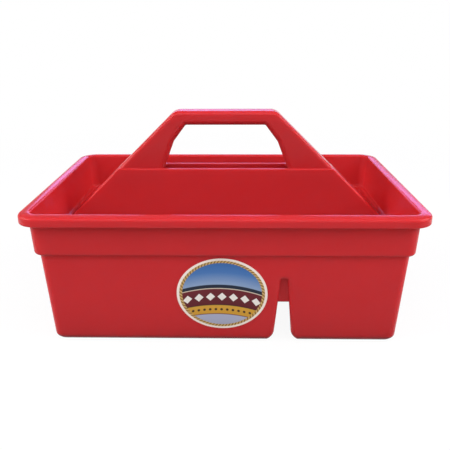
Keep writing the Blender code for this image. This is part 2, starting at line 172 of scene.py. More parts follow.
def plan_rings(x_low, x_high, y_low, y_high, z, front, back):
    """Rounded rectangles seen from above, one a level.

    A corner's points are its centre plus the radius times (cos a, sin a), over 90 degrees;
    the centre stands in from both sides by the radius, front or back.
    """
    levels = np.broadcast_arrays(x_low, x_high, y_low, y_high, np.atleast_1d(z), front, back)
    x_low, x_high, y_low, y_high, z, front, back = [values[:, None] for values in levels]
    corner = np.repeat(np.arange(4), CORNER_STEPS + 1)
    a = math.pi / 2 * (corner + np.tile(np.linspace(0, 1, CORNER_STEPS + 1), 4))
    right = (corner == 0) | (corner == 3)
    rear = corner < 2
    radius = np.where(rear, back, front)
    x = np.where(right, x_high - radius, x_low + radius) + radius * np.cos(a)
    y = np.where(rear, y_high - radius, y_low + radius) + radius * np.sin(a)
    return np.stack([x, y, z + 0 * a], axis=-1)


def tub_rings(inset, z):
    """The rim's outline moved in by the inset.

    The corners' radius is the rim's less the inset, so they stay round the same centres,
    down to the least radius.
    """
    half_x = HALF_LENGTH - inset
    half_y = HALF_DEPTH - inset
    radius = np.maximum(RIM_CORNER - inset, WALL_CORNER)
    return plan_rings(-half_x, half_x, -half_y, half_y, z, radius, radius)


ring = tub_rings(np.array([0.0]), np.array([TUB_HEIGHT]))
print("points round the rim:", ring.shape[1])

# %% [markdown]
# ## The tub
#
# The tub is one profile carried round the rim's outline: up the drafted wall, out over
# the shoulder, round the lip, over the rim and down inside to the ledge. The rim is a
# rolled one, so its top is highest at its inner edge and falls away outward in a slow
# curve. That curve is what the bright streaks along both sides of the tote come from.

# %% The tub's profile, as pairs of inset and height
def rim_top(inner):
    """Over the rim, from its outer face to its inner wall at the inset `inner`.

    Between an outer and an inner round, the height falls away outward by f (1 - t) squared,
    where t runs from 0 outside to 1 inside and f is half the width times the tangent of
    the lean. The outer round starts at that lean.
    """
    out, out_drop = quarter(RIM_EDGE, RIM_LEAN)
    into, into_drop = quarter(RIM_INNER_EDGE)
    t = np.linspace(0, 1, 2 * EDGE_STEPS + 1)[1:-1]
    start, end = out[0], inner - into[0]
    fall = (end - start) * math.tan(math.radians(RIM_LEAN)) / 2
    out_drop = out_drop - out_drop[0] + fall
    inset = np.concatenate([out[::-1], start + (end - start) * t, inner - into])
    return inset, TUB_HEIGHT - np.concatenate([out_drop[::-1], fall * (1 - t) ** 2, into_drop])


def tub_profile():
    """Inset and height of the tub's skin, from the base up outside and down inside to the ledge."""
    foot, foot_up = quarter(FOOT_EDGE)
    cove, cove_up = quarter(COVE)
    shoulder, shoulder_up = quarter(SHOULDER_EDGE)
    lip, lip_up = quarter(LIP_EDGE)
    deck, deck_up = quarter(DECK_COVE)
    shoulder_z = SHOULDER_UNDERSIDE + shoulder_up
    rim_inset, rim_z = rim_top(upper_inset(TUB_HEIGHT) + WALL)
    stretches = [
        (lower_inset(foot_up) + foot, foot_up),
        (lower_inset(SHOULDER_UNDERSIDE) - cove_up, SHOULDER_UNDERSIDE - cove),
        (upper_inset(shoulder_z) + shoulder, shoulder_z),
        (RIM_OVERHANG - cove_up, RIM_UNDERSIDE - cove),
        (lip, RIM_UNDERSIDE + lip_up),
        (rim_inset, rim_z),
        (upper_inset(LEDGE_HEIGHT) + WALL + deck_up, LEDGE_HEIGHT + deck),
    ]
    insets, heights = zip(*stretches)
    return np.concatenate(insets), np.concatenate(heights)


tub_inset, tub_z = tub_profile()
tub = skin("tub", tub_rings(tub_inset, tub_z))
print(f"tub profile: {len(tub_z)} points, rim crest {max(tub_z):.4f}")

# %% [markdown]
# ## The wells
#
# Below the ledge lie three wells, one long one at the back and two in front that a
# tunnel keeps apart. A toolmaker would cut each as a core: a drafted block with rounded
# corners. The same is done here, and the cores are taken out of the tub with Booleans.

# %% The divider's thickness, which the wells leave free
DIVIDER_TOP = 0.1656
DIVIDER_THICKNESS = 0.030     # at its top
DIVIDER_DRAFT = 3.8


def divider_half(z):
    """Half the divider's thickness: half its top, plus depth below the top times its draft."""
    return DIVIDER_THICKNESS / 2 + (DIVIDER_TOP - z) * math.tan(math.radians(DIVIDER_DRAFT))


print(f"divider {2e3 * divider_half(LEDGE_HEIGHT):.1f} mm thick at the ledge")

# %% The cores of the wells
TROUGH_CORNER = 0.009         # plan radius of a well's corners at the divider
DIVIDER_TOE = 0.0001          # the wells stand off the divider's upper faces by this


def trough_rings(side, z, shrink, widen):
    """A well's outline on one side (-1 front, 1 back), shrunk all round, or widened at the ledge.

    Its outer sides follow the lower wall at a wall's distance, its inner side the divider.
    """
    inset = lower_inset(z) + WALL + shrink - widen
    half_x = HALF_LENGTH - inset
    outer = HALF_DEPTH - inset
    inner = divider_half(z) + DIVIDER_TOE + shrink
    radius = np.maximum(RIM_CORNER - lower_inset(z), WALL_CORNER) - WALL + widen
    if side < 0:
        return plan_rings(-half_x, half_x, -outer, -inner, z, radius, TROUGH_CORNER)
    return plan_rings(-half_x, half_x, inner, outer, z, TROUGH_CORNER, radius)


def trough(name, side):
    """A well's core: floor rounding, drafted sides, and the rounding over the ledge."""
    floor, floor_up = quarter(FOOT_EDGE - WALL)
    edge, edge_drop = quarter(LEDGE_EDGE)
    z = np.concatenate([WALL + floor_up, LEDGE_HEIGHT - edge_drop[::-1], [LEDGE_HEIGHT + WALL]])
    shrink = np.concatenate([floor, 0 * edge, [0]])
    widen = np.concatenate([0 * floor, edge[::-1], [LEDGE_EDGE]])
    return skin(name, trough_rings(side, z, shrink, widen))


front_core = trough("front_core", -1)
back_core = trough("back_core", 1)
print("faces in a core:", len(back_core.data.polygons))

# %% [markdown]
# ## The tunnel between the front wells
#
# Between the two front wells a narrow tunnel runs in from the front wall to the divider,
# open at the front and below. It stiffens the floor. Its walls are a jacket, the same
# section made one wall thicker, which is left standing when the front core is taken out.
# A short way in, a web closes its upper part, so that above it only a groove is seen.

# %% Sizes of the tunnel
TUNNEL_X = 0.0627
TUNNEL_TOP_WIDTH = 0.0068
TUNNEL_HEIGHT = 0.075
TUNNEL_DRAFT = 5.0
TUNNEL_ROOF_EDGE = 0.002
TUNNEL_FOOT_EDGE = 0.012      # between its sides and the base
TUNNEL_FLARE = 0.010          # each side stands further out by this at the divider
MOUTH_EDGE = 0.005            # edges where a hollow opens in an outer wall
CLEAR = 0.010                 # how far a cutter runs past what it cuts


def tunnel_half(z):
    """Half the tunnel's width: half its top, plus depth below the roof times its draft."""
    return TUNNEL_TOP_WIDTH / 2 + (TUNNEL_HEIGHT - z) * math.tan(math.radians(TUNNEL_DRAFT))


print(f"tunnel {2e3 * tunnel_half(0):.1f} mm wide at the base")

# %% Sections of the tunnel
def mirrored(points):
    """Complete an outline (point, 2) from its right half, listed upwards, mirrored across."""
    return np.concatenate([points, points[::-1] * [-1, 1]])


def tunnel_section(grow):
    """The tunnel's outline, thickened all round by `grow`.

    From the base up it is the foot's rounding, the drafted side and the roof's rounding.
    """
    foot, foot_up = quarter(TUNNEL_FOOT_EDGE - grow)
    roof, roof_drop = quarter(TUNNEL_ROOF_EDGE + grow)
    z = np.concatenate([[-CLEAR], grow + foot_up, TUNNEL_HEIGHT + grow - roof_drop[::-1]])
    widen = np.concatenate([foot[:1], foot, -roof[::-1]])
    return mirrored(np.stack([tunnel_half(z) + grow + widen, z], axis=-1))


def tunnel(name, grow, distances, widenings, back):
    """The tunnel or its jacket, as sections from the front wall in to the divider.

    Each section stands at its distance behind the front wall and leans with it. The last
    one stands in the divider and leans with that.
    """
    rings = []
    for distance, widen in zip(distances, widenings):
        section = tunnel_section(grow + widen)
        y = lower_inset(section[:, 1]) - HALF_DEPTH + distance
        rings.append(np.stack([TUNNEL_X + section[:, 0], y, section[:, 1]], axis=-1))
    section = tunnel_section(grow)
    x = section[:, 0] + np.sign(section[:, 0]) * TUNNEL_FLARE
    y = back - divider_half(section[:, 1])
    rings.append(np.stack([TUNNEL_X + x, y, section[:, 1]], axis=-1))
    return skin(name, np.stack(rings))


mouth, mouth_depth = quarter(MOUTH_EDGE)
MOUTH_DISTANCES = np.concatenate([[-CLEAR], mouth_depth])
MOUTH_WIDENINGS = np.concatenate([[MOUTH_EDGE], mouth])
passage = tunnel("passage", 0, MOUTH_DISTANCES, MOUTH_WIDENINGS, 0)
jacket = tunnel("jacket", WALL, [0], [0], WALL / 2)
print("faces in the tunnel:", len(passage.data.polygons))

# %% The web across the tunnel, left standing when the tunnel is cut
WEB_DEPTH = 0.005             # from the front wall's face in to the web
WEB_FOOT = 0.0475             # height of its lower edge
WEB_CORNER = WALL / 2.1       # its edges are all but full rounds

web_front = lower_inset(WEB_FOOT) - HALF_DEPTH + WEB_DEPTH
web_z = np.array([WEB_FOOT, 2 * TUNNEL_HEIGHT])     # it runs past the roof and both sides
web_rings = plan_rings(0, 2 * TUNNEL_X, web_front, web_front + WALL, web_z, WEB_CORNER, WEB_CORNER)
web = skin("web", web_rings)
print(f"the web stands {1e3 * (web_front + HALF_DEPTH):.1f} mm behind the rim's face")

# %% [markdown]
# ## The divider
#
# The divider is a long hump with sloped ends, hollow from below so that its walls cool as
# evenly as the rest. Under the hand hole its top is open, as a slot between two walls.

# %% Sizes of the divider, and the slope that its ends share with the handle
DIVIDER_CORNER = 0.003
DIVIDER_EDGE = 0.0010         # rounding of the divider's top
DIVIDER_COVE = 0.0015         # fillet at the foot of its sloped ends
DIVIDER_FOOT_EDGE = 0.0025
RAMP_STEP = 0.0004            # the divider's ends stand proud of the handle's by this
RAMP_MARGIN = 0.0061          # from the foot of each sloped end to the inner wall
HANDLE_SHOULDER = 0.0576      # half the handle's length at the top, were the corners sharp
HANDLE_STEP = 0.003           # from the divider's faces in to the handle's

HALF_HANDLE = DIVIDER_THICKNESS / 2 - HANDLE_STEP
RAMP_FOOT = HALF_LENGTH - upper_inset(LEDGE_HEIGHT) - WALL - RAMP_MARGIN
HANDLE_RUN = (RAMP_FOOT - HANDLE_SHOULDER) / (HANDLE_HEIGHT - LEDGE_HEIGHT)


def handle_end(z):
    """Half the handle's length: half its top, plus depth below the top times its run."""
    return HANDLE_SHOULDER + (HANDLE_HEIGHT - z) * HANDLE_RUN


handle_lean = math.degrees(math.atan(HANDLE_RUN))
print(f"the handle's ends slope {handle_lean:.1f} degrees off the upright")

# %% The divider's outside and its hollow
def divider():
    """The hump over the ledge: a fillet at its foot, drafted faces, and a rounded top edge."""
    foot, foot_up = quarter(DIVIDER_COVE)
    top, top_drop = quarter(DIVIDER_EDGE)
    start = [LEDGE_HEIGHT - WALL / 2]
    z = np.concatenate([start, LEDGE_HEIGHT + foot_up, DIVIDER_TOP - top_drop[::-1]])
    offset = np.concatenate([foot[:1], foot, -top[::-1]])
    x = handle_end(z) + RAMP_STEP + offset
    y = divider_half(z) + offset
    return skin("divider", plan_rings(-x, x, -y, y, z, DIVIDER_CORNER, DIVIDER_CORNER))


def divider_hollow():
    """The hollow, open below and at both ends under the ledge.

    Sections stand across the tote, from mouth to mouth. Each leans with the end walls, so a
    point at height z lies further in by its depth below the section's top times the draft.
    """
    foot, foot_up = quarter(DIVIDER_FOOT_EDGE)
    roof = DIVIDER_TOP - WALL
    face = HALF_LENGTH - lower_inset(SHOULDER_UNDERSIDE)
    shift = RAMP_STEP - WALL * math.hypot(1, HANDLE_RUN)
    ends = [(face - distance, SHOULDER_UNDERSIDE, widen)
            for distance, widen in zip(MOUTH_DISTANCES, MOUTH_WIDENINGS)]
    ends += [(handle_end(z) + shift, z, 0) for z in (SHOULDER_UNDERSIDE, roof)]
    sections = []
    for side, steps in ((-1, ends), (1, ends[::-1])):
        for x, top, widen in steps:
            z = np.concatenate([[-CLEAR], foot_up, [top]])
            half = divider_half(z) - WALL + np.concatenate([foot[:1], foot, [0]]) + widen
            outline = mirrored(np.stack([half, z], axis=-1))
            lean = x - (top - outline[:, 1]) * WALL_SLOPE
            sections.append(np.stack([side * lean, outline[:, 0], outline[:, 1]], axis=-1))
    return skin("divider_hollow", np.stack(sections))


hump = divider()
hollow = divider_hollow()
print("faces in the divider and its hollow:", len(hump.data.polygons), len(hollow.data.polygons))

# %% The slot under the hand hole
HOLE_BOTTOM = 0.0719          # half the hand hole's width at the divider's top
SLOT_MARGIN = 0.0003          # the slot's sides stand in from the handle's faces by this
CUT_BELOW = 2 * WALL          # how far the openings reach down into the divider


def slot():
    """The gap between the divider's two walls under the hand hole, with rounded upper edges."""
    edge, drop = quarter(DIVIDER_EDGE)
    z = np.concatenate([[DIVIDER_TOP - CUT_BELOW], DIVIDER_TOP - drop[::-1], [DIVIDER_TOP + WALL]])
    widen = np.concatenate([[0], edge[::-1], [DIVIDER_EDGE]])
    x = HOLE_BOTTOM + RAMP_STEP + 0 * z
    y = HALF_HANDLE - SLOT_MARGIN + widen
    return skin("slot", plan_rings(-x, x, -y, y, z, WALL, WALL))


gap = slot()
print(f"the slot is {2e3 * (HOLE_BOTTOM + RAMP_STEP):.0f} mm long")

# %% [markdown]
# ## The handle
#
# The handle is a flat arch with rounded edges and a hand hole through it. Its outline is
# a polygon with arcs at its corners, stood up and carried from front to back: the outline
# is drawn in at each face, by a quarter round, so that the edges are kind to the hand.

# %% Outlines with rounded corners
def unit(vectors):
    """Vectors divided by their lengths."""
    return vectors / np.linalg.norm(vectors, axis=-1, keepdims=True)


def offset_outline(points, distance):
    """Move each side of a convex outline, listed anticlockwise, outward by a distance.

    A corner moves by (a + b) / (1 + a.b) times the distance, where a and b are the
    outward normals of the two sides that meet there.
    """
    before = unit(points - np.roll(points, 1, axis=0))
    after = np.roll(before, -1, axis=0)
    a = np.stack([before[:, 1], -before[:, 0]], axis=-1)
    b = np.stack([after[:, 1], -after[:, 0]], axis=-1)
    return points + (a + b) / (1 + (a * b).sum(axis=-1, keepdims=True)) * distance


def round_outline(points, radii):
    """Replace each corner of an anticlockwise convex outline by an arc of its radius.

    With h half the corner's angle, the arc's centre lies radius / sin h along the corner's
    bisector, it starts radius / tan h before the corner, and it turns by 180 degrees - 2 h.
    """
    radii = np.asarray(radii, float)[:, None]
    back = unit(np.roll(points, 1, axis=0) - points)
    ahead = unit(np.roll(points, -1, axis=0) - points)
    half = np.arccos((back * ahead).sum(axis=-1, keepdims=True)) / 2
    centre = points + unit(back + ahead) * radii / np.sin(half)
    start = points + back * radii / np.tan(half) - centre
    a = (math.pi - 2 * half) * np.linspace(0, 1, CORNER_STEPS + 1)
    x = centre[:, :1] + start[:, :1] * np.cos(a) - start[:, 1:] * np.sin(a)
    z = centre[:, 1:] + start[:, :1] * np.sin(a) + start[:, 1:] * np.cos(a)
    return np.stack([x, z], axis=-1).reshape(-1, 2)


def upright(outlines, depths):
    """Outlines of (x, z) points, each stood up at its own depth y."""
    outlines = np.stack(outlines)
    y = np.broadcast_to(np.asarray(depths)[:, None], outlines.shape[:2])
    return np.stack([outlines[..., 0], y, outlines[..., 1]], axis=-1)


square = np.array([(-1.0, -1.0), (1.0, -1.0), (1.0, 1.0), (-1.0, 1.0)])
print("points in a rounded square:", len(round_outline(square, [0.5] * 4)))

# %% The handle's arch
HANDLE_CORNER = 0.015
HANDLE_EDGE = 0.0045
HANDLE_ROOT = 1.5 * WALL      # how deep the arch stands in the divider


def handle():
    """The arch over the divider, drawn in towards both faces by a quarter round."""
    root = DIVIDER_TOP - HANDLE_ROOT
    outlines, depths = [], []
    for across, drop in zip(*quarter(HANDLE_EDGE)):
        corners = mirrored(np.array([
            (handle_end(DIVIDER_TOP), root - drop),
            (handle_end(DIVIDER_TOP), DIVIDER_TOP),
            (HANDLE_SHOULDER, HANDLE_HEIGHT),
        ]))
        radius = HANDLE_CORNER - drop
        outlines.append(round_outline(offset_outline(corners, -drop), [0, 0, radius, radius, 0, 0]))
        depths.append(HALF_HANDLE - across)
    depths = np.array(depths)
    depths = np.concatenate([-depths[::-1], depths])
    return skin("handle", upright(outlines[::-1] + outlines, depths))


arch = handle()
print("faces in the handle's arch:", len(arch.data.polygons))

# %% The hand hole
HOLE_TOP = 0.0455             # half its width under the grip
HOLE_MIDDLE = 0.0599          # half its width where its sides bend
HOLE_KINK_DROP = 0.019        # from the grip down to that bend
HOLE_CORNER = 0.003
HOLE_KINK_CORNER = 0.010
HOLE_EDGE = 0.006


def hole_corners():
    """Right half of the hand hole's outline, carried on down below the divider's top."""
    kink = GRIP_UNDERSIDE - HOLE_KINK_DROP
    lean = (HOLE_BOTTOM - HOLE_MIDDLE) / (kink - DIVIDER_TOP)
    return np.array([
        (HOLE_BOTTOM + lean * CUT_BELOW, DIVIDER_TOP - CUT_BELOW),
        (HOLE_MIDDLE, kink),
        (HOLE_TOP, GRIP_UNDERSIDE),
    ])


def hand_hole():
    """The hole, widened towards both faces by a quarter round."""
    across, drop = quarter(HOLE_EDGE)
    widenings = np.concatenate([[HOLE_EDGE], across])
    depths = np.concatenate([[HALF_HANDLE + CLEAR], HALF_HANDLE - drop])
    corners = mirrored(hole_corners())
    outlines = []
    for widen in widenings:
        radii = [0, HOLE_KINK_CORNER + widen, HOLE_CORNER + widen]
        outlines.append(round_outline(offset_outline(corners, widen), radii + radii[::-1]))
    depths = np.concatenate([-depths, depths[::-1]])
    return skin("hand_hole", upright(outlines + outlines[::-1], depths))


hand = hand_hole()
print(f"hand hole {1e3 * (GRIP_UNDERSIDE - DIVIDER_TOP):.0f} mm high")

# %% The hollow legs
HANDLE_WALL = 0.0032


def leg_hollow(name, side):
    """The hollow inside one leg (-1 left, 1 right), a wall's thickness inside the leg's outline."""
    bottom, kink, top = hole_corners()
    inner = offset_outline(np.array([bottom, kink, top, (0, top[1]), (0, bottom[1])]), HANDLE_WALL)
    shift = HANDLE_WALL * math.hypot(1, HANDLE_RUN)
    roof = GRIP_UNDERSIDE + HANDLE_WALL
    floor = DIVIDER_TOP - CUT_BELOW
    outline = np.array([
        (inner[0, 0], floor),
        (handle_end(DIVIDER_TOP) - shift, floor),
        (handle_end(DIVIDER_TOP) - shift, DIVIDER_TOP),
        (handle_end(roof) - shift, roof),
        (inner[2, 0], roof),
        inner[1],
    ]) * [side, 1]
    half = HALF_HANDLE - HANDLE_WALL
    return skin(name, upright([outline, outline], [-half, half]))


legs = [leg_hollow("left_leg_hollow", -1), leg_hollow("right_leg_hollow", 1)]
print("hollow legs:", len(legs))

# %% [markdown]
# ## One seamless skin
#
# The tote is one piece of plastic, so its skin has no seams. The forms are joined and cut
# with exact Booleans, in the order in which a mould does it: bodies first, cores last.
# The result is one closed mesh. Faces that meet at a small angle are shaded smooth.

# %% Join the bodies and take out the cores
def combine(body, how, tool):
    """Add an exact Boolean to the body."""
    step = body.modifiers.new(how.title() + " " + tool.name, "BOOLEAN")
    step.operation = how
    step.solver = "EXACT"
    step.object = tool


combine(hump, "DIFFERENCE", gap)
combine(arch, "DIFFERENCE", hand)
combine(front_core, "DIFFERENCE", jacket)
combine(passage, "DIFFERENCE", web)
combine(tub, "UNION", hump)
combine(tub, "UNION", arch)
for core in [front_core, back_core, hollow, *legs, passage]:
    combine(tub, "DIFFERENCE", core)

bpy.context.view_layer.update()
depsgraph = bpy.context.evaluated_depsgraph_get()
whole = bpy.data.meshes.new_from_object(tub.evaluated_get(depsgraph))
for helper in [tub, hump, arch, front_core, back_core, hollow, *legs,
               passage, jacket, web, gap, hand]:
    bpy.data.objects.remove(helper, do_unlink=True)

print("faces after the Booleans:", len(whole.polygons))

# %% The moulding, in place of its solids
SMOOTH_ANGLE = 32.0           # degrees; faces that meet at less are shaded as one
whole.name = "moulding"
whole.shade_smooth()
whole.set_sharp_from_angle(angle=math.radians(SMOOTH_ANGLE))
moulding = bpy.data.objects.new("moulding", whole)
bpy.context.scene.collection.objects.link(moulding)
weighted = moulding.modifiers.new("Flat faces stay flat", "WEIGHTED_NORMAL")
weighted.keep_sharp = True
MOULDING_NODES = sorted(set(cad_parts) - {"label"})
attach(moulding, "root")
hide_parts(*MOULDING_NODES)

check = bmesh.new()
check.from_mesh(whole)
open_edges = sum(1 for edge in check.edges if len(edge.link_faces) != 2)
print(f"moulding: {len(check.faces)} faces, {open_edges} open edges, "
      f"{check.calc_volume() * 1e6:.0f} cubic centimetres")
check.free()

# %% [markdown]
# ## The sticker
#
# The sticker is a die-cut oval of vinyl on the front wall, a little askew, as a sticker
# put on by hand is. It could be a flat disc, but a real one has a thickness that catches
# light at its edge. So it is a stack of ovals: out over the back, up the cut edge, round
# its corner and in over the front, where the print's own map is laid.

# %% Sizes of the sticker
LABEL_WIDTH = 0.095
LABEL_HEIGHT = 0.083
LABEL_LIFT = 0.0001           # the glue under it
LABEL_THICKNESS = 0.0003
LABEL_EDGE = 0.0001           # rounding of its cut edge
LABEL_X = -0.002
LABEL_Z = 0.0585
LABEL_TILT = math.radians(2.0)    # clockwise from the front
LABEL_POINTS = 144            # round its oval
BACK_INSETS = [0.040, 0.020, 0.0]     # insets of the ovals on its back
FACE_INSETS = [0.010, 0.020, 0.030, 0.040]    # and of those on its face


def label_rings():
    """Ovals (ring, point, 3) over the back, up the cut edge and in over the front.

    Across is (half width - inset) times cos a, up is (half height - inset) times sin a, and
    out is the lift.
    """
    a = np.linspace(0, 2 * math.pi, LABEL_POINTS, endpoint=False)
    edge, edge_drop = quarter(LABEL_EDGE)
    top = LABEL_LIFT + LABEL_THICKNESS
    inset = np.concatenate([BACK_INSETS, edge[::-1], FACE_INSETS])[:, None]
    lift = np.concatenate([[LABEL_LIFT] * len(BACK_INSETS), top - edge_drop[::-1],
                           [top] * len(FACE_INSETS)])[:, None]
    x = (LABEL_WIDTH / 2 - inset) * np.cos(a)
    up = (LABEL_HEIGHT / 2 - inset) * np.sin(a)
    return np.stack([x, up, lift + 0 * a], axis=-1)


print("ovals in the sticker:", len(label_rings()))

# %% Lay the sticker on the wall
label_lean = math.radians(WALL_DRAFT)
LABEL_MIDDLE = np.array([LABEL_X, lower_inset(LABEL_Z) - HALF_DEPTH, LABEL_Z])
LABEL_ACROSS = np.array([math.cos(LABEL_TILT), math.sin(LABEL_TILT) * math.sin(label_lean),
                         -math.sin(LABEL_TILT) * math.cos(label_lean)])
LABEL_UP = np.array([math.sin(LABEL_TILT), -math.cos(LABEL_TILT) * math.sin(label_lean),
                     math.cos(LABEL_TILT) * math.cos(label_lean)])
LABEL_OUT = np.array([0, -math.cos(label_lean), -math.sin(label_lean)])

turn = np.stack([LABEL_ACROSS, LABEL_UP, LABEL_OUT])
label = skin("sticker", LABEL_MIDDLE + label_rings() @ turn)
label.data.shade_smooth()
label.data.set_sharp_from_angle(angle=math.radians(SMOOTH_ANGLE))
print("sticker faces:", len(label.data.polygons))

# %% The print's map: metres across and up from the sticker's middle
label_points = np.empty(3 * len(label.data.vertices))
label.data.vertices.foreach_get("co", label_points)
corner_points = np.empty(len(label.data.loops), int)
label.data.loops.foreach_get("vertex_index", corner_points)
from_middle = label_points.reshape(-1, 3)[corner_points] - LABEL_MIDDLE
print_places = from_middle @ np.stack([LABEL_ACROSS, LABEL_UP], axis=-1)
print_map = label.data.uv_layers.new(name="print")
print_map.data.foreach_set("uv", print_places.ravel())

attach(label, "root")
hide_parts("label")
print("the print's map reaches", np.abs(print_places).max(axis=0).round(4), "from the middle")

# %% [markdown]
# ## Colour and nodes
#
# Colours are written as sRGB hex codes, as a paint maker gives them, and one function
# turns them into the linear values that a shader works with. One small function adds a
# node, sets it up and links its inputs.

# %% Colour and node helpers
def colour(hex_code):
    """sRGB hex to linear.

    It is c / 12.92 up to 0.04045, and ((c + 0.055) / 1.055) to the power 2.4 above it.
    """
    c = np.array([int(hex_code[i:i + 2], 16) / 255 for i in (1, 3, 5)])
    linear = np.where(c <= 0.04045, c / 12.92, ((c + 0.055) / 1.055) ** 2.4)
    return (*linear.tolist(), 1.0)


def add(tree, kind, inputs=None, **settings):
    """Add a node, set its properties, and fill its inputs with values or other nodes' outputs."""
    made = tree.nodes.new(kind)
    for name, value in settings.items():
        setattr(made, name, value)
    for name, value in (inputs or {}).items():
        if isinstance(value, bpy.types.NodeSocket):
            tree.links.new(value, made.inputs[name])
        else:
            made.inputs[name].default_value = value
    return made


def new_material(name):
    """A material with its default shader and output."""
    material = bpy.data.materials.new(name)
    material.use_nodes = True
    return material, material.node_tree, material.node_tree.nodes["Principled BSDF"]


COLOUR_A, COLOUR_B = 6, 7     # a Mix node's sockets for two colours
MIXED_COLOUR = 2              # and for their mix
WHITE = (1, 1, 1, 1)
print("a mid grey in linear:", round(colour("#808080")[0], 3))

# %% [markdown]
# ## Red polyethylene
#
# Totes are injection moulded in polyethylene with the pigment in it. The mould is lightly
# textured, so the plastic has a soft gloss: it shows a bright backdrop only at a flat
# angle. Its pigment is very even, with a faint mottle where the plastic flowed. Polyethylene
# is a little translucent, so some light spreads in its wall and softens the shade in the
# wells. Subsurface scattering stands for that.

# %% The plastic's finish
POLYETHYLENE_IOR = 1.51
FLAT_ANGLE_GLOSS = 0.12       # specular level: little gloss face on, all of it at a flat angle
ROUGHNESS = (0.17, 0.22)      # from the smoother patches to the rougher ones
FLOW_MOTTLE = 0.045           # metres from one darker patch to the next
MOULD_GRAIN = 0.0009          # its texture, drawn coarser than the real 0.3 mm so that it shows
GRAIN_DEPTH, GRAIN_STRENGTH = 0.00002, 0.5
SCATTER_SHARE = 0.6           # share of the light that spreads in the wall
SCATTER_DEPTH = 0.014         # how far red light spreads there, a few times its thickness
SCATTER_RED_GREEN_BLUE = (1.0, 0.25, 0.2)

plastic, tree, shader = new_material("moulded_polyethylene_red")
place = add(tree, "ShaderNodeTexCoord").outputs["Object"]
flow = add(tree, "ShaderNodeTexNoise", {"Vector": place, "Scale": 1 / FLOW_MOTTLE, "Detail": 3.0})
pigment = add(tree, "ShaderNodeMix", {
    0: flow.outputs["Fac"],
    COLOUR_A: colour("#C42B30"),
    COLOUR_B: colour("#CA2E33"),
}, data_type="RGBA")
grain = add(tree, "ShaderNodeTexNoise", {"Vector": place, "Scale": 1 / MOULD_GRAIN, "Detail": 2.0})
gloss = add(tree, "ShaderNodeMapRange", {
    "Value": flow.outputs["Fac"], "To Min": ROUGHNESS[0], "To Max": ROUGHNESS[1]})
bump = add(tree, "ShaderNodeBump", {
    "Height": grain.outputs["Fac"], "Distance": GRAIN_DEPTH, "Strength": GRAIN_STRENGTH})
shader.inputs["IOR"].default_value = POLYETHYLENE_IOR
shader.inputs["Specular IOR Level"].default_value = FLAT_ANGLE_GLOSS
shader.inputs["Subsurface Weight"].default_value = SCATTER_SHARE
shader.inputs["Subsurface Radius"].default_value = SCATTER_RED_GREEN_BLUE
shader.inputs["Subsurface Scale"].default_value = SCATTER_DEPTH
tree.links.new(pigment.outputs[MIXED_COLOUR], shader.inputs["Base Color"])
tree.links.new(gloss.outputs["Result"], shader.inputs["Roughness"])
tree.links.new(bump.outputs["Normal"], shader.inputs["Normal"])
moulding.data.materials.clear()
moulding.data.materials.append(plastic)
print("material:", plastic.name)

# %% [markdown]
# ## Printed vinyl
#
# The sticker is white vinyl, printed and covered with a clear film of a soft gloss. Its
# print is worked out in millimetres on its own map: a pale cut edge, a twisted cord as a
# border, and inside it bands that arch a little, under a blue field. A ramp with close
# stops gives the bands their crisp borders, and a fine grain stands for the printing screen.

# %% Where a point of the print lies
MM = 1000                     # in a metre
BAND_SAG = 9.0                # mm that the bands sag by at the sticker's ends
vinyl, tree, shader = new_material("printed_vinyl")
place = add(tree, "ShaderNodeUVMap", uv_map="print").outputs["UV"]
place_mm = add(tree, "ShaderNodeVectorMath", {
    0: place, 1: (MM, MM, MM)}, operation="MULTIPLY").outputs[0]
split = add(tree, "ShaderNodeSeparateXYZ", {0: place_mm})
x_mm, up_mm = split.outputs["X"], split.outputs["Y"]

# Share of the way from the middle to the cut edge, on a line through both
oval = add(tree, "ShaderNodeVectorMath", {
    0: place, 1: (2 / LABEL_WIDTH, 2 / LABEL_HEIGHT, 0)}, operation="MULTIPLY")
reach = add(tree, "ShaderNodeVectorMath", {0: oval.outputs[0]}, operation="LENGTH").outputs["Value"]

# Height on the bands: up, plus x squared times the sag over half the width squared
half_width_mm = MM * LABEL_WIDTH / 2
bend = add(tree, "ShaderNodeMath", {0: x_mm, 1: 2.0}, operation="POWER")
arched = add(tree, "ShaderNodeMath", {
    0: bend.outputs[0], 1: BAND_SAG / half_width_mm ** 2, 2: up_mm},
    operation="MULTIPLY_ADD").outputs[0]
print("nodes that place the print:", len(tree.nodes))

# %% The bands inside the border
LOWEST_MM, HIGHEST_MM = -42.0, 52.0
BANDS = [                     # (upper end in mm, colour at the lower end, colour at the upper end)
    (-24.0, "#A3A6BE", "#AEB1C9"),
    (-23.2, "#6B2A30", "#6B2A30"),
    (-13.0, "#CF9A35", "#D3A03C"),
    (-12.2, "#2A1A20", "#2A1A20"),
    (6.5, "#5E1E26", "#6A222B"),
    (7.3, "#E9DCC8", "#E9DCC8"),
    (11.5, "#1C2433", "#222C3E"),
    (26.0, "#8FA6C9", "#4A78B6"),
    (HIGHEST_MM, "#4A78B6", "#0F4696"),
]
SOFT_MM = 0.25                # width of a printed border
along = add(tree, "ShaderNodeMapRange", {
    "Value": arched, "From Min": LOWEST_MM, "From Max": HIGHEST_MM})
bands = add(tree, "ShaderNodeValToRGB", {0: along.outputs["Result"]})
stops = []
lower = LOWEST_MM
for upper, low_colour, high_colour in BANDS:
    stops += [(lower + SOFT_MM / 2, low_colour), (upper - SOFT_MM / 2, high_colour)]
    lower = upper
for k, (stop_mm, hex_code) in enumerate(stops):
    share_up = (stop_mm - LOWEST_MM) / (HIGHEST_MM - LOWEST_MM)
    stop = bands.color_ramp.elements[k] if k < 2 else bands.color_ramp.elements.new(share_up)
    stop.position = share_up
    stop.color = colour(hex_code)
print("colour stops in the bands:", len(bands.color_ramp.elements))

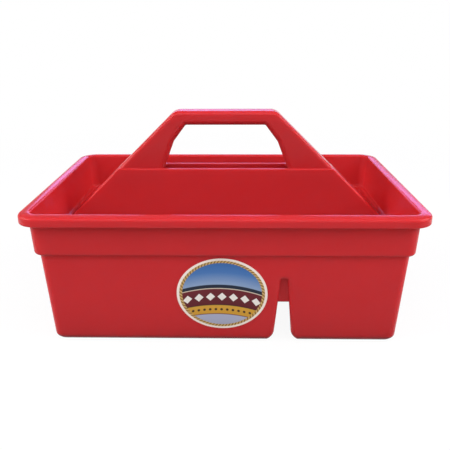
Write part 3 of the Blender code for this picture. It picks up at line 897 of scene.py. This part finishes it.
# %% A row of lozenges on the dark band, and a row of dots on the ochre one
# In mm. A row repeats by its step and lies by its drop below the sticker's middle.
LOZENGE_STEP, LOZENGE_HALF, LOZENGE_DROP = 12.0, 4.6, 2.8
DOT_STEP, DOT_HALF, DOT_DROP = 6.0, 1.3, 18.1
SOFT_EDGE = 0.3
lozenge_x = add(tree, "ShaderNodeMath", {0: x_mm, 1: LOZENGE_STEP / 2}, operation="PINGPONG")
lozenge_up = add(tree, "ShaderNodeMath", {0: arched, 1: LOZENGE_DROP}, operation="ADD")
lozenge_up = add(tree, "ShaderNodeMath", {0: lozenge_up.outputs[0]}, operation="ABSOLUTE")
lozenge = add(tree, "ShaderNodeMath", {
    0: lozenge_x.outputs[0], 1: lozenge_up.outputs[0]}, operation="ADD")
lozenge = add(tree, "ShaderNodeMapRange", {
    "Value": lozenge.outputs[0], "From Min": LOZENGE_HALF, "From Max": LOZENGE_HALF + SOFT_EDGE,
    "To Min": 1, "To Max": 0})
dot_x = add(tree, "ShaderNodeMath", {0: x_mm, 1: DOT_STEP / 2}, operation="PINGPONG")
dot_up = add(tree, "ShaderNodeMath", {0: arched, 1: DOT_DROP}, operation="ADD")
dot = add(tree, "ShaderNodeCombineXYZ", {0: dot_x.outputs[0], 1: dot_up.outputs[0]})
dot = add(tree, "ShaderNodeVectorMath", {0: dot.outputs[0]}, operation="LENGTH")
dot = add(tree, "ShaderNodeMapRange", {
    "Value": dot.outputs["Value"], "From Min": DOT_HALF, "From Max": DOT_HALF + SOFT_EDGE,
    "To Min": 1, "To Max": 0})
field = add(tree, "ShaderNodeMix", {
    0: lozenge.outputs["Result"],
    COLOUR_A: bands.outputs["Color"],
    COLOUR_B: colour("#EFEAE4"),
}, data_type="RGBA")
field = add(tree, "ShaderNodeMix", {
    0: dot.outputs["Result"],
    COLOUR_A: field.outputs[MIXED_COLOUR],
    COLOUR_B: colour("#4A3020"),
}, data_type="RGBA")
print("lozenges and dots: every", LOZENGE_STEP, "and", DOT_STEP, "mm")

# %% The cord round it, and the cut edge
CORD_STRANDS = 70
CORD_TWIST = 60.0             # the strands' slant: radians of their wave per unit of reach
STRAND_CREST = 0.6            # height on that wave at which a strand has its full colour
CORD_INSIDE, CORD_OUTSIDE = 0.875, 0.94   # shares of the way to the cut edge
BORDER_SOFT = 0.006           # the same kind of share
angle = add(tree, "ShaderNodeMath", {0: up_mm, 1: x_mm}, operation="ARCTAN2")
twist = add(tree, "ShaderNodeMath", {0: reach, 1: CORD_TWIST}, operation="MULTIPLY")
strand = add(tree, "ShaderNodeMath", {
    0: angle.outputs[0], 1: CORD_STRANDS, 2: twist.outputs[0]}, operation="MULTIPLY_ADD")
strand = add(tree, "ShaderNodeMath", {0: strand.outputs[0]}, operation="SINE")
strand = add(tree, "ShaderNodeMapRange", {
    "Value": strand.outputs[0], "From Min": -STRAND_CREST, "From Max": STRAND_CREST})
cord = add(tree, "ShaderNodeMix", {
    0: strand.outputs["Result"],
    COLOUR_A: colour("#8F6A2C"),
    COLOUR_B: colour("#D2B074"),
}, data_type="RGBA")
on_cord = add(tree, "ShaderNodeMapRange", {
    "Value": reach, "From Min": CORD_INSIDE, "From Max": CORD_INSIDE + BORDER_SOFT})
at_edge = add(tree, "ShaderNodeMapRange", {
    "Value": reach, "From Min": CORD_OUTSIDE, "From Max": CORD_OUTSIDE + BORDER_SOFT})
face = add(tree, "ShaderNodeMix", {
    0: on_cord.outputs["Result"],
    COLOUR_A: field.outputs[MIXED_COLOUR],
    COLOUR_B: cord.outputs[MIXED_COLOUR],
}, data_type="RGBA")
face = add(tree, "ShaderNodeMix", {
    0: at_edge.outputs["Result"],
    COLOUR_A: face.outputs[MIXED_COLOUR],
    COLOUR_B: colour("#FBEDE4"),
}, data_type="RGBA")
print("strands in the cord:", CORD_STRANDS)

# %% The printing screen's grain, and the film over all
SCREEN_GRAIN = 0.5            # mm; the real 0.15 mm is too fine to show, so it is drawn coarser
INK_RANGE = (0.88, 1.12)      # from the thinnest ink to the thickest
FILM_RIPPLE = 6.0             # mm from one faint wave of the film to the next
RIPPLE_DEPTH, RIPPLE_STRENGTH = 0.00008, 0.4
VINYL_IOR = 1.49
FILM_GLOSS = 0.2              # specular level: little gloss face on
FILM_ROUGHNESS = 0.28
screen = add(tree, "ShaderNodeTexNoise", {
    "Vector": place_mm, "Scale": 1 / SCREEN_GRAIN, "Detail": 1.0})
ink = add(tree, "ShaderNodeMapRange", {
    "Value": screen.outputs["Fac"], "To Min": INK_RANGE[0], "To Max": INK_RANGE[1]})
printed = add(tree, "ShaderNodeVectorMath", {
    0: face.outputs[MIXED_COLOUR], "Scale": ink.outputs["Result"]}, operation="SCALE")
ripple = add(tree, "ShaderNodeTexNoise", {
    "Vector": place_mm, "Scale": 1 / FILM_RIPPLE, "Detail": 1.0})
relief = add(tree, "ShaderNodeBump", {
    "Height": ripple.outputs["Fac"], "Distance": RIPPLE_DEPTH, "Strength": RIPPLE_STRENGTH})
shader.inputs["IOR"].default_value = VINYL_IOR
shader.inputs["Specular IOR Level"].default_value = FILM_GLOSS
shader.inputs["Roughness"].default_value = FILM_ROUGHNESS
tree.links.new(printed.outputs[0], shader.inputs["Base Color"])
tree.links.new(relief.outputs["Normal"], shader.inputs["Normal"])
label.data.materials.append(vinyl)
print("nodes in the print:", len(tree.nodes))

# %% [markdown]
# ## The studio
#
# A white paper floor, a white world and broad soft boxes: one high in front and one over
# the camera, three on each side that fill the open wells with light, and a low, lilac one
# far behind the tote. The last is seen only in the plastic's gloss, as the bright streaks
# along the rim's sides. The paper is white to the eye and greyer in the light that it
# throws back. Close to the tote's foot that colour is painted nearly black, a painted shade
# on the paper, so that the underside of the rim and the rounding at the foot fall into shade.

# %% Floor
FLOOR_SIZE = 6.0
floor_mesh = bpy.data.meshes.new("floor")
half = FLOOR_SIZE / 2
floor_mesh.from_pydata([(-half, -half, 0), (half, -half, 0), (half, half, 0), (-half, half, 0)],
                       [], [(0, 1, 2, 3)])
floor = bpy.data.objects.new("floor", floor_mesh)
bpy.context.scene.collection.objects.link(floor)
print("floor:", FLOOR_SIZE, "m across")

# %% What the paper throws back on the tote, with a painted shade at the foot
PAPER_ROUGHNESS = 0.9
# Close to the foot the paper's colour is painted nearly black: a painted shade, which fades out
# between these distances.
PAINTED_FOOT_SHADE = (0.035 / 3, 0.035)   # metres from the foot over which its shade fades out
paper, tree, shader = new_material("white_paper_sweep")
shader.inputs["Roughness"].default_value = PAPER_ROUGHNESS
shader.inputs["Specular IOR Level"].default_value = 0.0
on_floor = add(tree, "ShaderNodeTexCoord").outputs["Object"]
foot_corner = (HALF_LENGTH - lower_inset(0.0), HALF_DEPTH - lower_inset(0.0), 0)
beside = add(tree, "ShaderNodeVectorMath", {0: on_floor}, operation="ABSOLUTE")
beside = add(tree, "ShaderNodeVectorMath", {
    0: beside.outputs["Vector"], 1: foot_corner}, operation="SUBTRACT")
beside = add(tree, "ShaderNodeSeparateXYZ", {0: beside.outputs["Vector"]})
beside = add(tree, "ShaderNodeMath", {
    0: beside.outputs["X"], 1: beside.outputs["Y"]}, operation="MAXIMUM")
beside = add(tree, "ShaderNodeMapRange", {
    "Value": beside.outputs[0], "From Min": PAINTED_FOOT_SHADE[0], "From Max": PAINTED_FOOT_SHADE[1]},
    interpolation_type="SMOOTHSTEP")
# Painted shade: near the foot the paper's colour for the light that it throws back is painted
# #101010, so that the rounding at the tote's foot falls dark.
thrown_back_and_painted_shade = add(tree, "ShaderNodeMix", {
    0: beside.outputs["Result"],
    COLOUR_A: colour("#101010"),
    COLOUR_B: colour("#A6A6A6"),
}, data_type="RGBA")
print(f"shade on the floor up to {1e3 * PAINTED_FOOT_SHADE[1]:.0f} mm from the foot")

# %% How the paper looks: white, with the tote's shadow near it
# A share of it is plain white. The rest is lit paper, which takes the shadow.
PLAIN_SHARE = (0.93, 1.0)     # near the tote, and far from it
PLAIN_REACH = (0.45, 1.3)     # metres from the tote's middle over which the share rises
rays = add(tree, "ShaderNodeLightPath")
seen = add(tree, "ShaderNodeMath", {
    0: rays.outputs["Is Camera Ray"], 1: rays.outputs["Is Glossy Ray"]}, operation="MAXIMUM")
seen = add(tree, "ShaderNodeMath", {
    0: seen.outputs[0], 1: rays.outputs["Is Transmission Ray"]}, operation="MAXIMUM")
tone = add(tree, "ShaderNodeMix", {
    0: seen.outputs[0], COLOUR_A: thrown_back_and_painted_shade.outputs[MIXED_COLOUR], COLOUR_B: WHITE},
    data_type="RGBA")
from_tote = add(tree, "ShaderNodeVectorMath", {0: on_floor}, operation="LENGTH")
plain = add(tree, "ShaderNodeMapRange", {
    "Value": from_tote.outputs["Value"], "From Min": PLAIN_REACH[0], "From Max": PLAIN_REACH[1],
    "To Min": PLAIN_SHARE[0], "To Max": PLAIN_SHARE[1]}, interpolation_type="SMOOTHSTEP")
share = add(tree, "ShaderNodeMath", {
    0: seen.outputs[0], 1: plain.outputs["Result"]}, operation="MULTIPLY")
white = add(tree, "ShaderNodeEmission", {"Color": WHITE, "Strength": 1.0})
sweep = add(tree, "ShaderNodeMixShader", {
    0: share.outputs[0], 1: shader.outputs[0], 2: white.outputs[0]})
tree.links.new(tone.outputs[MIXED_COLOUR], shader.inputs["Base Color"])
tree.links.new(sweep.outputs[0], tree.nodes["Material Output"].inputs["Surface"])
floor.data.materials.append(paper)
print("material:", paper.name)

# %% World: white to the eye, and in the gloss white near the horizon and grey above it
WORLD_WHITE_BELOW, WORLD_GREY_ABOVE = 0.06, 0.16     # sines of the angle above the horizon
WORLD_GREY = (0.25, 0.25, 0.25, 1)
WORLD_FILL = (0.06, 0.06, 0.06, 1)    # what it sheds on the tote
world = bpy.data.worlds.new("studio")
bpy.context.scene.world = world
world.use_nodes = True
tree = world.node_tree
background = tree.nodes["Background"]
direction = add(tree, "ShaderNodeTexCoord").outputs["Generated"]
height = add(tree, "ShaderNodeSeparateXYZ", {0: direction}).outputs["Z"]
fade = add(tree, "ShaderNodeMapRange", {
    "Value": height, "From Min": WORLD_WHITE_BELOW, "From Max": WORLD_GREY_ABOVE},
    interpolation_type="SMOOTHSTEP")
sky = add(tree, "ShaderNodeMix", {
    0: fade.outputs["Result"], COLOUR_A: WHITE, COLOUR_B: WORLD_GREY}, data_type="RGBA")
rays = add(tree, "ShaderNodeLightPath")
glow = add(tree, "ShaderNodeMix", {
    0: rays.outputs["Is Glossy Ray"], COLOUR_A: WORLD_FILL, COLOUR_B: sky.outputs[MIXED_COLOUR]},
    data_type="RGBA")
seen = add(tree, "ShaderNodeMath", {
    0: rays.outputs["Is Camera Ray"], 1: rays.outputs["Is Transmission Ray"]}, operation="MAXIMUM")
glow = add(tree, "ShaderNodeMix", {
    0: seen.outputs[0], COLOUR_A: glow.outputs[MIXED_COLOUR], COLOUR_B: WHITE}, data_type="RGBA")
tree.links.new(glow.outputs[MIXED_COLOUR], background.inputs["Color"])
background.inputs["Strength"].default_value = 1.0
print("nodes in the world:", len(tree.nodes))

# %% Lamps
MIDDLE = Vector((0, 0, 0.1))  # what each lamp is turned to


def lamp(name, place, width, height, radiance, tint="#FFFFFF"):
    """A soft box turned to the tote's middle.

    Its power is its radiance times pi times its area, so one of radiance 1 looks white.
    """
    data = bpy.data.lights.new(name, "AREA")
    data.shape = "RECTANGLE"
    data.size = width
    data.size_y = height
    data.energy = radiance * math.pi * width * height
    data.color = colour(tint)[:3]
    box = bpy.data.objects.new(name, data)
    turn = (MIDDLE - Vector(place)).to_track_quat("-Z", "Y").to_matrix().to_4x4()
    box.matrix_world = Matrix.Translation(place) @ turn
    box.visible_camera = False
    bpy.context.scene.collection.objects.link(box)


lamp("high in front", (0, -1.1, 1.9), 1.6, 1.0, 2.0)
lamp("over the camera", (0, -1.9, 1.3), 1.6, 0.9, 2.6)
for side, name in ((-1, "left"), (1, "right")):
    lamp("front " + name, (1.4 * side, -1.2, 1.4), 1.5, 1.2, 1.3)
    lamp("high on the " + name, (1.8 * side, -0.3, 1.3), 1.5, 1.2, 4.9)
    lamp("low on the " + name, (2.0 * side, -0.5, 0.75), 1.5, 0.9, 1.5)
lamp("low behind the tote", (0.55, 3.0, 1.09), 4.4, 0.62, 4.4, "#CBAAFF")
print("lamps:", len(bpy.data.lights))

# %% Camera, fitted to the tote's corners and edges in the photograph
CAMERA_PLACE = (0.01238, -0.65251, 0.32855)
CAMERA_YAW = 1.189            # degrees to the left
CAMERA_PITCH = 19.988         # degrees down
CAMERA_ROLL = 0.245           # degrees clockwise
FOCAL_PIXELS = 566.15
IMAGE_SIZE = 450              # pixels
SENSOR_WIDTH = 36.0           # mm

yaw = Matrix.Rotation(math.radians(CAMERA_YAW), 4, "Z")
pitch = Matrix.Rotation(math.radians(90 - CAMERA_PITCH), 4, "X")
roll = Matrix.Rotation(math.radians(-CAMERA_ROLL), 4, "Z")
camera_data = bpy.data.cameras.new("camera")
camera_data.sensor_width = SENSOR_WIDTH
camera_data.lens = SENSOR_WIDTH * FOCAL_PIXELS / IMAGE_SIZE
camera = bpy.data.objects.new("camera", camera_data)
camera.matrix_world = Matrix.Translation(CAMERA_PLACE) @ yaw @ pitch @ roll
bpy.context.scene.collection.objects.link(camera)
bpy.context.scene.camera = camera
bpy.context.scene.view_settings.view_transform = "Standard"
print(f"lens {camera_data.lens:.2f} mm")
